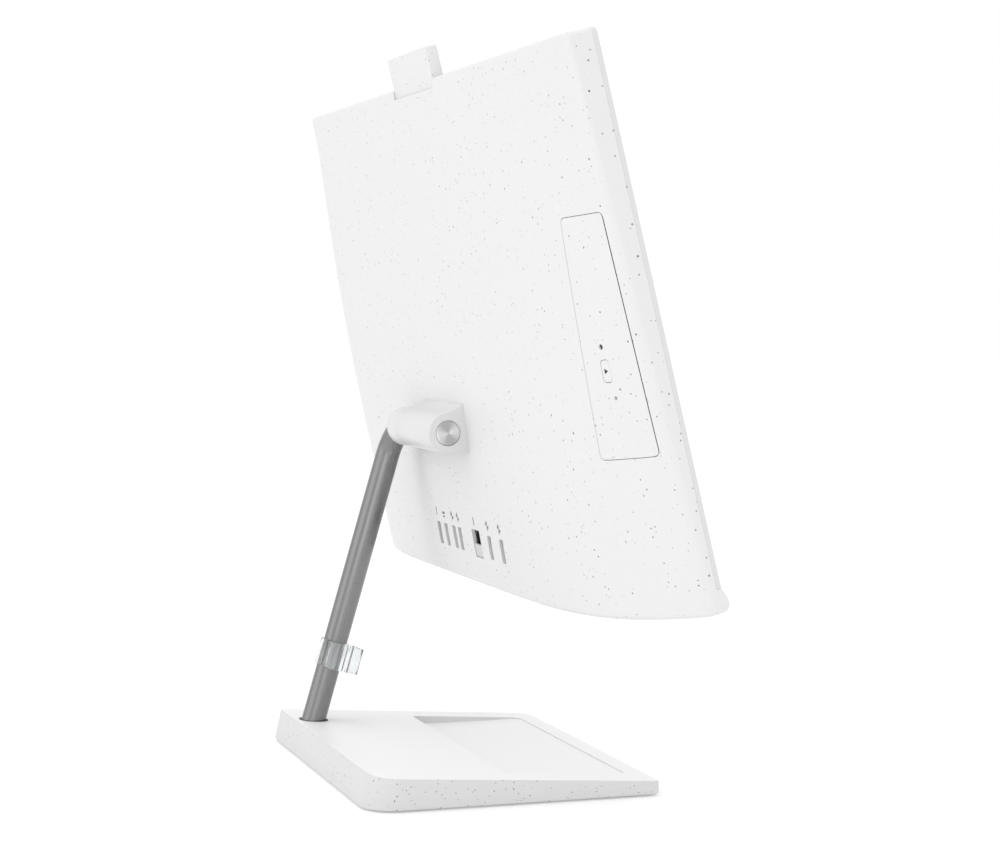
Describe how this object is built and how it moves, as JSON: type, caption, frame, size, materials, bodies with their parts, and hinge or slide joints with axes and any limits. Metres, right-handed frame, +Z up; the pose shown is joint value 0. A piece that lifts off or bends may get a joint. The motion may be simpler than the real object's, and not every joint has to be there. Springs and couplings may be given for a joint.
{
  "type": "all-in-one pc",
  "caption": "Desktop computer built into a domed display head that tilts on a leaning post, with side disc drive, pop-up camera and flat weighted base.",
  "frame": {"origin": "on the table under the middle of the base", "axes": "+Z up; the screen faces -Y; +X to the right of a person who looks at the screen, along the width of the screen"},
  "size_m": [0.5408, 0.181, 0.45],
  "materials": {
    "shell": "fine matte off-white moulded plastic with small dark grey flecks",
    "plain_white": "smooth satin white",
    "clear": "clear polycarbonate, polished",
    "post_metal": "satin tube drawn along its length",
    "cap_metal": "turned end face",
    "screen_glass": "glossy black cover glass",
    "lcd_metal": "folded sheet",
    "steel_sheet": "galvanised sheet",
    "board": "green solder mask",
    "copper": "bright copper",
    "black_plastic": "fine black grain",
    "dark_rubber": "soft dark grey",
    "screw_steel": "dark zinc",
    "bronze": "sintered bronze",
    "port_metal": "nickel plated shell",
    "grey_plastic": "light grey",
    "chin_fabric": "white with fine speaker slots",
    "weight_iron": "dark coated plate",
    "lens_glass": "coated lens"
  },
  "bodies": {
    "stand": {"base_shell": "shell", "base_top": "plain_white", "base_weight": "weight_iron", "base_bottom": "plain_white", "base_screws": "screw_steel", "base_feet": "dark_rubber", "post": "post_metal", "post_end_cap": "cap_metal", "post_grommet": "dark_rubber", "post_flange": "steel_sheet", "flange_screws": "screw_steel"},
    "cable_clip": {"cable_clip": "clear"},
    "head": {"back_cover": "shell", "front_frame": "plain_white", "chin_bar": "chin_fabric", "display_glass": "screen_glass", "lcd_module": "lcd_metal", "chassis_plate": "steel_sheet", "motherboard": "board", "cpu_heat_sink": "copper", "heat_pipe": "copper", "fin_stack": "lcd_metal", "fan_housing": "black_plastic", "memory_modules": "board", "solid_state_drive": "board", "wireless_card": "lcd_metal", "hard_drive": "lcd_metal", "hard_drive_caddy": "steel_sheet", "speaker_left": "black_plastic", "speaker_right": "black_plastic", "io_board": "board", "io_ribbon": "grey_plastic", "power_inlet": "black_plastic", "video_port": "port_metal", "usb_ports": "port_metal", "network_jack": "black_plastic", "optical_drive": "lcd_metal", "camera_guide": "black_plastic", "power_button_board": "board", "cover_screws": "screw_steel", "hinge_bracket": "steel_sheet", "hinge_block": "plain_white", "hinge_bushes": "bronze", "hinge_spring_washers": "steel_sheet", "hinge_screws": "screw_steel"},
    "fan": {"fan_rotor": "black_plastic"},
    "port_flap": {"network_jack_flap": "grey_plastic"},
    "drive_tray": {"disc_tray": "black_plastic", "drive_bezel": "shell"},
    "eject_button": {"eject_button": "shell"},
    "disc_spindle": {"disc_hub": "black_plastic"},
    "camera": {"camera_housing": "shell", "camera_window": "black_plastic", "camera_lens": "lens_glass", "camera_board": "board"},
    "power_button": {"power_button": "grey_plastic"}
  },
  "joints": [
    {"name": "screen_tilt", "type": "hinge", "parent": "stand", "child": "head", "pos_m": [0, 0.0176, 0.2136], "axis": [1, 0, 0], "range_deg": [-6, 19]},
    {"name": "clip_slide", "type": "slide", "parent": "stand", "child": "cable_clip", "axis": [0, -0.2756, 0.9613], "range_m": [-0.015, 0.07]},
    {"name": "fan_spin", "type": "hinge", "parent": "head", "child": "fan", "pos_m": [0.156, -0.00983, 0.27015], "axis": [0, 0.9699, -0.2436], "continuous": true},
    {"name": "port_flap_turn", "type": "hinge", "parent": "head", "child": "port_flap", "pos_m": [-0.022, -0.00952, 0.13593], "axis": [-1, 0, 0], "range_deg": [0, 60]},
    {"name": "tray_slide", "type": "slide", "parent": "head", "child": "drive_tray", "axis": [-1, 0, 0], "range_m": [0, 0.118]},
    {"name": "eject_press", "type": "slide", "parent": "drive_tray", "child": "eject_button", "axis": [0, -0.9699, 0.2436], "range_m": [0, 0.0008], "stiffness_N_per_m": 400, "springref_m": -0.0006},
    {"name": "disc_spin", "type": "hinge", "parent": "drive_tray", "child": "disc_spindle", "pos_m": [-0.163, -0.00752, 0.27524], "axis": [0, 0.9699, -0.2436], "continuous": true},
    {"name": "camera_slide", "type": "slide", "parent": "head", "child": "camera", "axis": [0, -0.2436, -0.9699], "range_m": [0, 0.0193]},
    {"name": "power_press", "type": "slide", "parent": "head", "child": "power_button", "axis": [0, 0.2436, 0.9699], "range_m": [0, 0.0006], "stiffness_N_per_m": 400, "springref_m": -0.0006}
  ]
}
